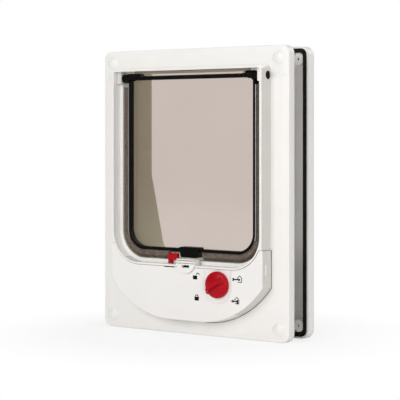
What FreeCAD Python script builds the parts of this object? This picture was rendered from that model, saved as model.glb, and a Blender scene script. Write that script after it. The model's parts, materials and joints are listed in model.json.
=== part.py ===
import FreeCAD, Part
import math
import os

os.makedirs("parts", exist_ok=True)

# A cat flap. X runs to the right, Y from the room into the door, Z up.
# The origin is the centre of the four screws, in the door-side plane of the inner flange.
V = FreeCAD.Vector

# Tunnel through the door; the flap, the surround and both flanges follow its width
TUNNEL_HALF = 75.4
TUNNEL_TOP = 107.2
TUNNEL_LOW = -61.2
TUNNEL_R = 25.0
TUNNEL_TOP_R = 2.0
TUNNEL_WALL = 1.8
LINER_START = -7.0
LINER_R = 10.0
LINER_PAST = 6.1
SLOPE_TOP = 21.0
SLOPE_LOW = -56.0
SLOPE_REACH = 21.6
DOOR_T = 22.5

# Raised surround and its draft towards the room
LEDGE_W = 3.4
LEDGE_DROP = 3.3
LEDGE_TOP = 0.3
LEDGE_Y = -13.2
SURROUND_WALL = 3.4
SURROUND_TOP_WALL = 2.8
SURROUND_RISE = 12.9
SURROUND_R = 4.0
DRAFT = 1.3
RIM_INNER_HALF = TUNNEL_HALF + LEDGE_W
RIM_INNER_TOP = TUNNEL_TOP + LEDGE_TOP
RIM_INNER_LOW = TUNNEL_LOW - LEDGE_DROP
RIM_INNER_R = 28.0
RIM_TOP_R = 1.0
RIM_LOW_WALL = 1.6
RIM_LOW_SIDE = 1.5
RIM_LOW_HALF = RIM_INNER_HALF + RIM_LOW_SIDE
RIM_LOW_R = 30.0
SURROUND_HALF = RIM_INNER_HALF + SURROUND_WALL
SURROUND_TOP = RIM_INNER_TOP + SURROUND_TOP_WALL

# Flange of the inner frame
FLANGE_BORDER = 17.8
FLANGE_W = 2 * (SURROUND_HALF + FLANGE_BORDER)
FLANGE_H = 254.0
FLANGE_D = 9.5
FLANGE_R = 7.5
FLANGE_WALL = 2.4
BEVEL_W = 6.0
BEVEL_DROP = 0.7
EDGE_ROUND = 1.2
SCREW_INSET_X = 10.0
SCREW_INSET_Z = 11.0
SCREW_X = FLANGE_W / 2 - SCREW_INSET_X
SCREW_Z = FLANGE_H / 2 - SCREW_INSET_Z
SCREW_HOLE_R = 2.2
SCREW_BOSS_R = 6.2
HEAD_R = 4.6
HEAD_FLOOR = 3.0
CAP_R = 5.8
CAP_SEAT = 0.8
CAP_RISE = 1.7
CAP_SKIRT = 2.5
CAP_WALL = 1.1
RIB_T = 1.6

# Control cover and the well behind it
COVER_PROUD = 0.6
COVER_WALL = 2.0
COVER_RISE = 12.5
COVER_TOP = -48.0
GROOVE_W = 0.6
GROOVE_DEEP = 1.0
SEAM = 0.4
BULGE_LOW = -114.7
BULGE_SIDE = 65.7
BULGE_X = SURROUND_HALF - BULGE_SIDE
BULGE_R = 81.2
WELL_INSET = 4.0
WELL_WALL = 2.0
WELL_FLOOR = 2.0
WELL_DROP = 3.7
WELL_TOP = RIM_INNER_LOW - WELL_DROP
GRIP_LEN = 9.4
GRIP_W = 2.4
GRIP_RISE = 1.4
GRIP_Z = -65.2
GRIP_Y = -16.8

# Flap
AXIS_Y = -12.8
AXIS_DROP = 5.9
AXIS_Z = TUNNEL_TOP - AXIS_DROP
BRUSH_PLAY = 0.6
BRUSH_LOW_PLAY = 0.4
BRUSH_TIP = 6.4
BRUSH_LOW_TIP = 7.4
FLAP_HALF = TUNNEL_HALF - BRUSH_PLAY - BRUSH_TIP
FLAP_LOW = TUNNEL_LOW + BRUSH_LOW_PLAY + BRUSH_LOW_TIP
FLAP_R = 18.0
BAND = 2.0
BAND_LOW = 2.6
BAND_LEDGE = 0.9
BAND_TOP = 0.6
FLAP_FRONT = -13.2
GLASS_DEPTH = 5.0
GLASS_T = 1.8
GLASS_PLAY = 0.1
GLASS_TOP = 0.8
BAR_R = 1.6
BAR_RISE = 0.5
BAR_SKIN = 0.8
LIP_T = 1.2
LIP_PLAY = 0.5
LIP_RISE = 1.0
LIP_END = 1.0
LIP_SUNK = 0.6
LIP_FIT = 0.1
BARREL_R = 4.5
KNUCKLE_R = 4.0
KNUCKLE_ROUND = 1.0
BARREL_SIDE = 2.0
BARREL_END = TUNNEL_HALF - BARREL_SIDE
THICK_LEFT = 20.3
THICK_RIGHT = 13.5
TAPER = 3.5
PIN_R = 3.7
PIN_NECK_R = 2.4
PIN_PLAY = 0.08
PIN_DEPTH = 12.0
PIN_SINK = 0.9
PIN_ROUND = 0.7
NECK_PLAY = 0.05
HINGE_PLAY = 0.4
HINGE_WALL = 1.1
HINGE_END = 0.1

# Brush strips on the flap
BRUSH_T = 4.6
CARRIER_T = 0.8
CARRIER_WALL = 0.4
BRUSH_DROP = 7.8
BRUSH_TOP = AXIS_Z - BRUSH_DROP
BRUSH_FRONT = -12.4
BRUSH_GAP_LEFT = -23.0
BRUSH_GAP_RIGHT = 13.2

# Latch block on the flap's lower edge
BLOCK_X = -0.5
BLOCK_TOP_HALF = 11.0
BLOCK_LOW_HALF = 8.7
BLOCK_RISE = 4.0
BLOCK_REACH = 5.3
BLOCK_TOP = FLAP_LOW + BLOCK_RISE
BLOCK_LOW = FLAP_LOW - BLOCK_REACH
BLOCK_FRONT = -14.6
BLOCK_BACK = -5.6
BLOCK_R = 1.2
BLOCK_ROUND = 0.8
MAGNET_R = 1.8
MAGNET_LEN = 8.0
MAGNET_PLAY = 0.05

# Catch guard over the rim
GUARD_X = 2.4
GUARD_HALF = 10.0
GUARD_FRONT = -24.0
GUARD_BACK = -16.0
GUARD_RISE = 5.3
GUARD_TOP = RIM_INNER_LOW + GUARD_RISE
GUARD_STEP = 1.6
GUARD_LOW = -71.5
GUARD_OVER = 0.4
APRON_T = 1.6
APRON_ROUND = 0.5
WINDOW_X = 2.9
WINDOW_Z = -65.5
WINDOW_W = 7.9
WINDOW_H = 2.5
GROOVE_H = 0.7
GROOVE_D = 0.9
GROOVE_STEPS = (0.9, 3.2)

# Latch bolt and its magnet coil
BOLT_W = 7.0
BOLT_FRONT = -20.0
BOLT_BACK = -16.9
BOLT_SINK = 1.0
BOLT_TOP = GUARD_TOP - BOLT_SINK
BOLT_STROKE = 4.5
BOLT_PLAY = 0.35
BOLT_ROUND = 0.8
BRIDGE_PLAY = 0.3
BRIDGE_T = 2.5
STEM_R = 2.0
STEM_SUNK = 4.0
YOKE_TOP = -82.0
YOKE_LOW = -99.0
YOKE_T = 1.5
YOKE_PLAY = 0.9
COIL_R = 6.6
COIL_PLAY = 0.3
COIL_CHEEK = 1.2
COIL_WIND = 0.8
BOLT_SPRING_R = 3.1
WIRE_R = 0.3
SPRING_TURNS = 3.5
SPRING_PLAY = 0.1

# Lock lever
LEVER_LEFT = -22.0
LEVER_LEG = 3.6
LEVER_TIP = -11.8
LEVER_TOP = -55.3
LEVER_ARM_LOW = -61.0
LEVER_FRONT = -15.6
LEVER_BACK = -12.8
LEVER_PLAY = 0.4
LEVER_R = 0.6
FOOT_FRONT = -19.5
FOOT_TOP = -66.5
FOOT_T = 2.0
FOOT_RIGHT = -10.7
LINK_W = 3.4
LINK_LOW = -103.0
LINK_H = 3.4
LINK_R = 0.8
STROKE = 5.5
NOTCH_H = 1.1
SHELF_TOP = -79.0
SHELF_T = 1.8
SHELF_LEFT = -21.5
SHELF_RIGHT = -15.5
LEVER_SPRING_R = 1.7

# Knob and its cam
KNOB_X = 35.3
KNOB_TOP = -68.2
KNOB_R = 11.6
KNOB_Z = KNOB_TOP - KNOB_R
BEAK_LEN = 2.0
BEAK_W = 6.4
BEAK_TIP_W = 1.8
BEAK_R = 0.7
BEAK_DROP = 0.3
BEAK_LIFT = 0.8
BEAK_DOT_R = 0.5
BEAK_DOT_IN = 1.3
BEAK_DOT_DEEP = 0.5
KNOB_TIP = KNOB_R + BEAK_LEN
KNOB_SEAT = -20.8
KNOB_SHOULDER = -23.0
KNOB_EDGE = 2.0
KNOB_DOME = -26.6
RIDGE_FACE = -30.4
RIDGE_FOOT_W = 9.0
RIDGE_TOP_W = 2.6
RIDGE_NOSE_W = 3.6
RIDGE_END = 1.6
RIDGE_SLOPE = 3.0
RIDGE_R = 0.35
KNOB_GAP = 0.25
POINTER = 215.0
RECESS_PLAY = 1.0
RECESS_HALF = KNOB_TIP + RECESS_PLAY
RECESS_FOOT = 3.2
RECESS_LOW = KNOB_Z - KNOB_TIP - RECESS_FOOT
RECESS_DEPTH = 1.0
RECESS_DRAFT = 1.6
PAD_MARGIN = 1.0
SPINDLE_R = 4.0
SPINDLE_NOSE = 2.4
JOURNAL_R = 2.5
BUSH_WALL = 2.0
HUB_WALL = 1.0
FIT = 0.06
CAM_R = 7.0
CAM_T = 3.2
CAM_FRONT = -16.4
CAM_TURN = 247.0
CAM_LEAD = 14.0
CAM_POINTS = 24
CAM_GAP = 0.3
FOLLOWER_R = 1.5

# Electric parts
CELL_R = 5.2
CELL_LEN = 44.0
CELL_X = -68.0
CELL_Z = -76.5
CELL_GAP = 0.6
CELL_PITCH = 2 * CELL_R + CELL_GAP
CELL_PLAY = 0.9
CELL_OVER = 1.0
CELL_Y = -WELL_FLOOR - CELL_R - CELL_OVER
CELL_ROUND = 0.5
CONTACT_T = 0.5
CONTACT_IN = 1.2
CONTACT_HALF = CELL_R - CONTACT_IN
CONTACT_PLAY = 0.1
NUB_R = 2.2
NUB_LEN = 0.8
BOARD_LEFT = 50.5
BOARD_RIGHT = 71.0
BOARD_TOP = -70.8
BOARD_LOW = -84.0
BOARD_Y = -6.0
BOARD_T = 1.6
BOARD_SCREW_IN = 3.0
BOARD_SCREW_R = 1.1
BOARD_SCREW_PLAY = 0.1
BOARD_HEAD_R = 2.0
BOARD_HEAD = 1.2
POST_R = 2.2
CHIP_W = 8.0
CHIP_H = 6.0
CHIP_T = 1.6
CAN_R = 3.0
CAN_H = 8.0
CAN_ROUND = 0.4
PART_MARGIN = 1.0

# Outer frame and its seal
SEAL_W = 3.4
SEAL_EDGE = 1.7
SEAL_SUNK = 1.5
SEAL_PROUD = 0.8
OUTER_D = 11.2
OUTER_FRONT = DOOR_T + SEAL_PROUD
OUTER_BACK = OUTER_FRONT + OUTER_D
OUTER_WALL = 5.0
OUTER_PLATE = 2.4
OUTER_ROUND = 2.0
COLLAR_PLAY = 0.3
COLLAR_WALL = 2.2
PILOT_R = 1.1
OUTER_BOSS_R = 5.2
TUNNEL_END = OUTER_FRONT + LINER_PAST
TUNNEL_LOW_END = TUNNEL_END + SLOPE_REACH

# Overshoot of the cutting shapes, and how near an edge lies to the place where it is looked for
OVER = 1.0
NEAR = 1e-4
THIN = 0.01


def rounded(points, y):
    """Closed wire in the plane at y through points (x, z, radius)."""
    count = len(points)
    edges = []
    entries = []
    exits = []
    middles = []
    for i, (x, z, r) in enumerate(points):
        here = V(x, y, z)
        before = V(points[i - 1][0], y, points[i - 1][1]) - here
        after = V(points[(i + 1) % count][0], y, points[(i + 1) % count][1]) - here
        before.normalize()
        after.normalize()
        if r <= 0:
            entries.append(here)
            exits.append(here)
            middles.append(None)
            continue
        half = before.getAngle(after) / 2
        bisector = before + after
        bisector.normalize()
        entries.append(here + before * (r / math.tan(half)))
        exits.append(here + after * (r / math.tan(half)))
        middles.append(here + bisector * (r / math.sin(half) - r))
    for i in range(count):
        if middles[i] is not None:
            edges.append(Part.Arc(entries[i], middles[i], exits[i]).toShape())
        following = entries[(i + 1) % count]
        if (following - exits[i]).Length > NEAR:
            edges.append(Part.LineSegment(exits[i], following).toShape())
    return Part.Wire(edges)


def prism(wire, depth):
    return Part.Face(wire).extrude(V(0, depth, 0))


def slab(points, y0, y1):
    return prism(rounded(points, y0), y1 - y0)


def box(x0, x1, y0, y1, z0, z1):
    return Part.makeBox(x1 - x0, y1 - y0, z1 - z0, V(x0, y0, z0))


def rod_y(r, x, z, y0, y1):
    return Part.makeCylinder(r, y1 - y0, V(x, y0, z), V(0, 1, 0))


def rod_x(r, y, z, x0, x1):
    return Part.makeCylinder(r, x1 - x0, V(x0, y, z), V(1, 0, 0))


def rod_z(r, x, y, z0, z1):
    return Part.makeCylinder(r, z1 - z0, V(x, y, z0), V(0, 0, 1))


def rectangle(half, low, top, r_low, r_top):
    return [(-half, top, r_top), (half, top, r_top), (half, low, r_low), (-half, low, r_low)]


def flange_outline(inset):
    half_w = FLANGE_W / 2 - inset
    half_h = FLANGE_H / 2 - inset
    r = max(FLANGE_R - inset, EDGE_ROUND)
    return rectangle(half_w, -half_h, half_h, r, r)


def tunnel_outline(grow, r=TUNNEL_R):
    return rectangle(TUNNEL_HALF + grow, TUNNEL_LOW - grow, TUNNEL_TOP + grow, r + grow, TUNNEL_TOP_R + grow)


def bulge_wire(half, inset, y):
    """Outline of the surround with its rounded belly; the arcs keep one centre."""
    r = BULGE_R - inset
    centre_z = BULGE_LOW + BULGE_R
    low = BULGE_LOW + inset
    top = SURROUND_TOP - inset
    corner = SURROUND_R
    start = math.acos((half - BULGE_X) / r)
    side_z = centre_z - r * math.sin(start)
    middle = (start + math.pi / 2) / 2
    mid_x = BULGE_X + r * math.cos(middle)
    mid_z = centre_z - r * math.sin(middle)
    bend = corner * (1 - math.sqrt(0.5))
    marks = [V(-half + corner, y, top), V(half - corner, y, top), V(half - bend, y, top - bend),
             V(half, y, top - corner), V(half, y, side_z), V(mid_x, y, mid_z), V(BULGE_X, y, low),
             V(-BULGE_X, y, low), V(-mid_x, y, mid_z), V(-half, y, side_z), V(-half, y, top - corner),
             V(-half + bend, y, top - bend)]
    line = Part.LineSegment
    arc = Part.Arc
    edges = [line(marks[0], marks[1]), arc(marks[1], marks[2], marks[3]), line(marks[3], marks[4]),
             arc(marks[4], marks[5], marks[6]), line(marks[6], marks[7]), arc(marks[7], marks[8], marks[9]),
             line(marks[9], marks[10]), arc(marks[10], marks[11], marks[0])]
    return Part.Wire([edge.toShape() for edge in edges])


def bulge_body(grow, inset, y0, y1, draft):
    """Drafted solid from the flange at y0 to the room at y1."""
    base = bulge_wire(SURROUND_HALF + grow - inset, inset, y0)
    front = bulge_wire(SURROUND_HALF + grow - inset - draft, inset + draft, y1)
    return Part.makeLoft([base, front], True, True)


def edges_where(shape, test):
    return [edge for edge in shape.Edges if test(edge)]


def on_plane_y(edge, y):
    room = edge.BoundBox
    return max(abs(room.YMin - y), abs(room.YMax - y)) < NEAR


def flange_shell():
    front = -FLANGE_D
    outer = slab(flange_outline(0), front + BEVEL_DROP, 0)
    crown = Part.makeLoft([rounded(flange_outline(0), front + BEVEL_DROP),
                           rounded(flange_outline(BEVEL_W), front)], True, True)
    body = outer.fuse(crown).removeSplitter()
    rim = edges_where(body, lambda e: on_plane_y(e, front + BEVEL_DROP))
    body = body.makeFillet(EDGE_ROUND, rim)
    pocket = slab(flange_outline(FLANGE_WALL), front + FLANGE_WALL + BEVEL_DROP, OVER)
    return body.cut(pocket)


def screw_places():
    return [(sx * SCREW_X, sz * SCREW_Z) for sx in (-1, 1) for sz in (-1, 1)]


def surround_front():
    return -FLANGE_D - SURROUND_RISE


def cover_front():
    return -FLANGE_D - COVER_RISE


def rim_low_outline(grow):
    return rectangle(RIM_LOW_HALF + grow, RIM_INNER_LOW - RIM_LOW_WALL - grow, SURROUND_TOP + FLANGE_R,
                     RIM_LOW_R + grow, 0)


def surround_walls():
    """Upper walls down to the cover, and the thin lip under the flap."""
    body = bulge_body(0, 0, -FLANGE_D, surround_front(), DRAFT)
    front_edges = edges_where(body, lambda e: on_plane_y(e, surround_front()))
    body = body.makeFillet(EDGE_ROUND / 2, front_edges)
    upper = box(-FLANGE_W, FLANGE_W, -FLANGE_W, 0, COVER_TOP, FLANGE_H)
    lip = slab(rim_low_outline(0), surround_front() - OVER, 0)
    return body.common(upper.fuse(lip))


def rim_inner_outline():
    return rectangle(RIM_INNER_HALF, RIM_INNER_LOW, RIM_INNER_TOP, RIM_INNER_R, RIM_TOP_R)


def tunnel_side_profile():
    """Side view of the liner's open end, which slopes outward at the foot."""
    far = FLANGE_W
    points = [V(-far, TUNNEL_END, far), V(-far, TUNNEL_END, SLOPE_TOP), V(-far, TUNNEL_LOW_END, SLOPE_LOW),
              V(-far, TUNNEL_LOW_END, -far), V(-far, far, -far), V(-far, far, far)]
    wire = Part.makePolygon(points + points[:1])
    return Part.Face(wire).extrude(V(2 * far, 0, 0))


def well_wire(inset, y):
    return bulge_wire(SURROUND_HALF - WELL_INSET - inset, WELL_INSET + inset, y)


def housing_well():
    """Sunk housing behind the control cover, with a floor in the door-side plane."""
    below = box(-FLANGE_W, FLANGE_W, -FLANGE_W, OVER, -FLANGE_H, WELL_TOP)
    outer = prism(well_wire(0, -FLANGE_D + FLANGE_WALL / 2), FLANGE_D - FLANGE_WALL / 2)
    inner_below = box(-FLANGE_W, FLANGE_W, -FLANGE_W, OVER, -FLANGE_H, WELL_TOP - WELL_WALL)
    inner = prism(well_wire(WELL_WALL, -FLANGE_D - OVER), FLANGE_D + OVER - WELL_FLOOR)
    return outer.common(below), inner.common(inner_below)


def lever_slot():
    low = RIM_INNER_LOW - 3 * RIM_LOW_WALL
    return box(LEVER_LEFT - LEVER_PLAY, LEVER_TIP + LEVER_PLAY, LEVER_FRONT - LEVER_PLAY,
               LEVER_BACK + LEVER_PLAY, low, TUNNEL_LOW + OVER)


def bolt_slot():
    half = BOLT_W / 2 + BOLT_PLAY
    low = RIM_INNER_LOW - 3 * RIM_LOW_WALL
    return box(GUARD_X - half, GUARD_X + half, BOLT_FRONT - BOLT_PLAY, BOLT_BACK + BOLT_PLAY, low, BOLT_TOP)


def window_cut(y0, y1):
    return box(WINDOW_X - WINDOW_W / 2, WINDOW_X + WINDOW_W / 2, y0, y1,
               WINDOW_Z - WINDOW_H / 2, WINDOW_Z + WINDOW_H / 2)


def notch_cut():
    """Gap in the cover's upper edge, in front of the lever's foot."""
    low = RIM_INNER_LOW - RIM_LOW_WALL - NOTCH_H
    return box(LEVER_LEFT, foot_right(), surround_front() - OVER, surround_front() + COVER_WALL + OVER,
               low, low + NOTCH_H + SEAM)


def hinge_block(side):
    """Boss between the surround wall and the flap's knuckle, bored for the pin."""
    reach = PIN_R + PIN_PLAY + HINGE_WALL
    block = box(BARREL_END + HINGE_PLAY, RIM_INNER_HALF + OVER, AXIS_Y - reach, AXIS_Y + reach,
                AXIS_Z - reach, RIM_INNER_TOP + OVER)
    return block if side > 0 else block.mirror(V(0, 0, 0), V(1, 0, 0))


def tunnel_tube():
    """Sleeve through the door: rounded under the flap, squarer behind it, its open end sloped."""
    front = slab(tunnel_outline(TUNNEL_WALL), -FLANGE_D + FLANGE_WALL / 2, LINER_START + TUNNEL_WALL)
    rear = slab(tunnel_outline(TUNNEL_WALL, LINER_R), LINER_START, TUNNEL_LOW_END)
    return front.fuse(rear.cut(tunnel_side_profile()))


def lip_box(play, low):
    """Room of the draught lip in front of the hinge bar, between the thick ends of the bar."""
    back = AXIS_Y - BAR_RISE - BAR_R - LIP_PLAY
    left = LIP_END + TAPER + THICK_LEFT - BARREL_END
    right = BARREL_END - THICK_RIGHT - TAPER - LIP_END
    return box(left - play, right + play, back - LIP_T - play, back + play, low,
               RIM_INNER_TOP + LIP_SUNK + play)


def foot_groove():
    """Shadow line in the flange around the foot of the cover."""
    front = -FLANGE_D - OVER
    deep = GROOVE_DEEP + OVER
    half = SURROUND_HALF + COVER_PROUD
    outer = prism(bulge_wire(half + GROOVE_W, -GROOVE_W, front), deep)
    inner = prism(bulge_wire(half, 0, front), deep)
    below = box(-FLANGE_W, FLANGE_W, front, 0, -FLANGE_H, COVER_TOP - SEAM)
    return outer.cut(inner).common(below)


def side_ribs():
    """Stiffening ribs behind the long sides of the flange."""
    ribs = []
    middle = SURROUND_HALF + FLANGE_BORDER / 2
    end = SCREW_Z - SCREW_BOSS_R
    for x in (-middle, middle):
        ribs.append(box(x - RIB_T / 2, x + RIB_T / 2, -FLANGE_D + FLANGE_WALL, -RIB_T, -end, end))
    return ribs


def fixing_holes():
    """Screw holes, head recesses and seats of the caps."""
    holes = []
    front = -FLANGE_D - OVER
    for x, z in screw_places():
        holes.append(rod_y(SCREW_HOLE_R, x, z, front, OVER))
        holes.append(rod_y(HEAD_R, x, z, front, -HEAD_FLOOR))
        holes.append(rod_y(CAP_R + SEAM / 2, x, z, front, -FLANGE_D + CAP_SEAT))
    return holes


def inner_frame():
    body = flange_shell()
    for x, z in screw_places():
        body = body.fuse(rod_y(SCREW_BOSS_R, x, z, -FLANGE_D + FLANGE_WALL, 0))
    well, hollow = housing_well()
    body = body.fuse([surround_walls(), well, tunnel_tube()] + side_ribs())
    body = body.cut(slab(rim_inner_outline(), surround_front() - OVER, LEDGE_Y))
    body = body.cut(slab(tunnel_outline(0), LEDGE_Y - OVER, LINER_START))
    body = body.cut(slab(tunnel_outline(0, LINER_R), LINER_START, TUNNEL_LOW_END + OVER))
    body = body.fuse([hinge_block(-1), hinge_block(1)])
    window = window_cut(surround_front() - OVER, BOLT_BACK)
    bore = rod_x(PIN_R + PIN_PLAY, AXIS_Y, AXIS_Z, -FLANGE_W / 2, FLANGE_W / 2)
    slot = lip_box(LIP_FIT, RIM_INNER_TOP - OVER)
    body = body.cut([hollow, lever_slot(), bolt_slot(), window, bore, slot] + fixing_holes())
    body = body.cut(foot_groove())
    root = -WELL_FLOOR / 2
    body = body.fuse(box(SHELF_LEFT, SHELF_RIGHT, FOOT_FRONT, root, SHELF_TOP - SHELF_T, SHELF_TOP))
    for x, z, r, y0 in inner_posts():
        body = body.fuse(rod_y(r, x, z, y0, root))
    body = body.cut(rod_y(JOURNAL_R + FIT, KNOB_X, KNOB_Z, -FLANGE_D, -WELL_FLOOR))
    for x, z in board_screw_places():
        body = body.cut(rod_y(BOARD_SCREW_R, x, z, BOARD_Y, -WELL_FLOOR))
    return body.removeSplitter()


def board_screw_places():
    z = BOARD_TOP - BOARD_SCREW_IN
    return [(BOARD_LEFT + BOARD_SCREW_IN, z), (BOARD_RIGHT - BOARD_SCREW_IN, z)]


def inner_posts():
    """Posts on the well floor as (x, z, radius, front y)."""
    posts = [(x, z, POST_R, BOARD_Y + BOARD_T) for x, z in board_screw_places()]
    posts.append((KNOB_X, KNOB_Z, JOURNAL_R + BUSH_WALL, -FLANGE_D))
    return posts


def screw_caps():
    caps = []
    for x, z in screw_places():
        seat = -FLANGE_D + CAP_SEAT
        sphere_r = (CAP_R ** 2 + CAP_RISE ** 2) / (2 * CAP_RISE)
        ball = Part.makeSphere(sphere_r, V(x, seat + sphere_r - CAP_RISE, z))
        dome = ball.common(rod_y(CAP_R, x, z, seat - CAP_RISE - OVER, seat))
        skirt = rod_y(HEAD_R - SEAM / 2, x, z, seat, seat + CAP_SKIRT)
        skirt = skirt.cut(rod_y(HEAD_R - CAP_WALL, x, z, seat, seat + CAP_SKIRT))
        caps.append(dome.fuse(skirt))
    return Part.makeCompound(caps)


def recess_outline(grow):
    half = RECESS_HALF + grow
    low = RECESS_LOW - grow
    left = KNOB_X - half
    right = KNOB_X + half
    r = RECESS_HALF - RECESS_PLAY + grow
    return [(left, RIM_INNER_LOW, 0), (right, RIM_INNER_LOW, 0), (right, low, r), (left, low, r)]


def knob_recess():
    """Sunk field round the knob with sloping sides, open towards the flap."""
    face = cover_front()
    lead = RECESS_DRAFT * SEAM / RECESS_DEPTH
    wires = [rounded(recess_outline(lead), face - SEAM),
             rounded(recess_outline(-RECESS_DRAFT), face + RECESS_DEPTH)]
    return Part.makeLoft(wires, True, True)


def control_cover():
    face = cover_front()
    outer = bulge_body(COVER_PROUD, 0, -FLANGE_D, face, DRAFT)
    outer = outer.makeFillet(EDGE_ROUND, edges_where(outer, lambda e: on_plane_y(e, face)))
    inner = bulge_body(COVER_PROUD, COVER_WALL, -FLANGE_D, face + COVER_WALL, DRAFT)
    below = box(-FLANGE_W, FLANGE_W, -FLANGE_W, OVER, -FLANGE_H, COVER_TOP - SEAM)
    body = outer.common(below)
    body = body.cut(slab(rim_low_outline(SEAM), face - OVER, OVER))
    pad = slab(recess_outline(PAD_MARGIN), face + COVER_WALL / 2, face + COVER_WALL + RECESS_DEPTH)
    bush = rod_y(SPINDLE_R + BUSH_WALL, KNOB_X, KNOB_Z, face + COVER_WALL, CAM_FRONT - CAM_GAP)
    hollow = inner.cut(pad).cut(bush)
    body = body.cut(hollow.common(below))
    body = body.cut([knob_recess(), notch_cut()])
    body = body.cut(rod_y(SPINDLE_R + FIT, KNOB_X, KNOB_Z, face - OVER, 0))
    return body.fuse([finger_rib(-1), finger_rib(1)]).removeSplitter()


def finger_rib(side):
    """Grip rib on the side wall, next to the snap catch inside it."""
    x0 = SURROUND_HALF + COVER_PROUD - DRAFT
    rib = box(x0 - OVER, x0 + GRIP_RISE, GRIP_Y - GRIP_W / 2, GRIP_Y + GRIP_W / 2, GRIP_Z - GRIP_LEN / 2,
              GRIP_Z + GRIP_LEN / 2)
    crown = edges_where(rib, lambda e: e.BoundBox.XLength < THIN and e.BoundBox.XMin > x0)
    rib = rib.makeFillet(GRIP_W / 2 - SEAM / 2, crown)
    return rib if side > 0 else rib.mirror(V(0, 0, 0), V(1, 0, 0))


def catch_guard():
    """Nose over the rim that hides the bolt: a block on the lip and a rounded apron in front."""
    x0 = GUARD_X - GUARD_HALF
    x1 = GUARD_X + GUARD_HALF
    front = surround_front() - GUARD_OVER
    block = box(x0, x1, front, GUARD_BACK, RIM_INNER_LOW, GUARD_TOP)
    r = GUARD_HALF - APRON_ROUND
    points = [(x0, GUARD_TOP - GUARD_STEP, 2 * APRON_ROUND), (x1, GUARD_TOP - GUARD_STEP, 2 * APRON_ROUND),
              (x1, GUARD_LOW, r), (x0, GUARD_LOW, r)]
    apron = slab(points, GUARD_FRONT, GUARD_FRONT + APRON_T)
    apron = apron.makeFillet(APRON_ROUND, edges_where(apron, lambda e: on_plane_y(e, GUARD_FRONT)))
    half = BOLT_W / 2 + BOLT_PLAY
    channel = box(GUARD_X - half, GUARD_X + half, BOLT_FRONT - BOLT_PLAY, BOLT_BACK + BOLT_PLAY,
                  RIM_INNER_LOW - OVER, GUARD_TOP + OVER)
    cuts = [channel, window_cut(GUARD_FRONT - OVER, BOLT_FRONT + OVER)]
    for step, face in zip(GROOVE_STEPS, (front, GUARD_FRONT)):
        top = GUARD_TOP - step
        cuts.append(box(x0 - OVER, x1 + OVER, face - OVER, face + GROOVE_D, top - GROOVE_H, top))
    return block.fuse(apron).cut(cuts).removeSplitter()


def bridge_top():
    """Highest place at which the bolt's bridge still clears the well's top wall when raised."""
    return WELL_TOP - WELL_WALL - BOLT_STROKE - BRIDGE_PLAY


def latch_bolt():
    half = BOLT_W / 2
    low = bridge_top() - BRIDGE_T
    head = box(GUARD_X - half, GUARD_X + half, BOLT_FRONT, BOLT_BACK, low, BOLT_TOP)
    top = edges_where(head, lambda e: e.BoundBox.ZMin > BOLT_TOP - THIN and e.BoundBox.XLength > half)
    head = head.makeFillet(BOLT_ROUND, top)
    y = coil_y()
    bridge = box(GUARD_X - half, GUARD_X + half, BOLT_FRONT, y + STEM_R, low, bridge_top())
    stem = rod_z(STEM_R, GUARD_X, y, YOKE_LOW + STEM_SUNK, low + BRIDGE_T / 2)
    return head.fuse([bridge, stem]).removeSplitter()


def coil_y():
    return (BOLT_FRONT - WELL_FLOOR) / 2


def coil_yoke():
    """Steel yoke bent round the coil, open at its front and back."""
    y = coil_y()
    half = COIL_R + YOKE_PLAY
    x0 = GUARD_X - half - YOKE_T
    x1 = GUARD_X + half + YOKE_T
    frame = box(x0, x1, y - COIL_R, y + COIL_R, YOKE_LOW, YOKE_TOP)
    frame = frame.cut(box(GUARD_X - half, GUARD_X + half, y - COIL_R - OVER, y + COIL_R + OVER,
                          YOKE_LOW + YOKE_T, YOKE_TOP - YOKE_T))
    foot = box(x0, x1, y + COIL_R, -WELL_FLOOR, YOKE_LOW, YOKE_LOW + YOKE_T)
    hole = rod_z(STEM_R + COIL_PLAY, GUARD_X, y, YOKE_TOP - 2 * YOKE_T, YOKE_TOP + OVER)
    return frame.fuse(foot).cut(hole).removeSplitter()


def magnet_coil():
    y = coil_y()
    low = YOKE_LOW + YOKE_T
    top = YOKE_TOP - YOKE_T
    body = rod_z(COIL_R - COIL_WIND, GUARD_X, y, low, top)
    for z in (low, top - COIL_CHEEK):
        body = body.fuse(rod_z(COIL_R, GUARD_X, y, z, z + COIL_CHEEK))
    return body.cut(rod_z(STEM_R + COIL_PLAY, GUARD_X, y, low + COIL_CHEEK, top + OVER))


def spring_tube(x, y, z0, z1, r):
    """Coil spring of square wire along a helix."""
    rise = z1 - z0 - 2 * WIRE_R
    helix = Part.makeHelix(rise / SPRING_TURNS, rise, r)
    helix.translate(V(x, y, z0 + WIRE_R))
    left = x + r - WIRE_R
    right = x + r + WIRE_R
    corners = [V(left, y, z0), V(right, y, z0), V(right, y, z0 + 2 * WIRE_R), V(left, y, z0 + 2 * WIRE_R)]
    profile = Part.makePolygon(corners + corners[:1])
    return Part.Wire(helix.Edges).makePipeShell([profile], True, True)


def bolt_spring():
    top = bridge_top() - BRIDGE_T - SPRING_PLAY
    return spring_tube(GUARD_X, coil_y(), YOKE_TOP + SPRING_PLAY, top, BOLT_SPRING_R)


def foot_right():
    """Right side of the lever's foot and stem, kept clear of the cells' contacts."""
    contacts = max(x for x, z in cell_places()) + CELL_LEN + NUB_LEN + CONTACT_PLAY + CONTACT_T
    return max(FOOT_RIGHT, contacts + LINK_W + 2 * LEVER_PLAY)


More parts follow.
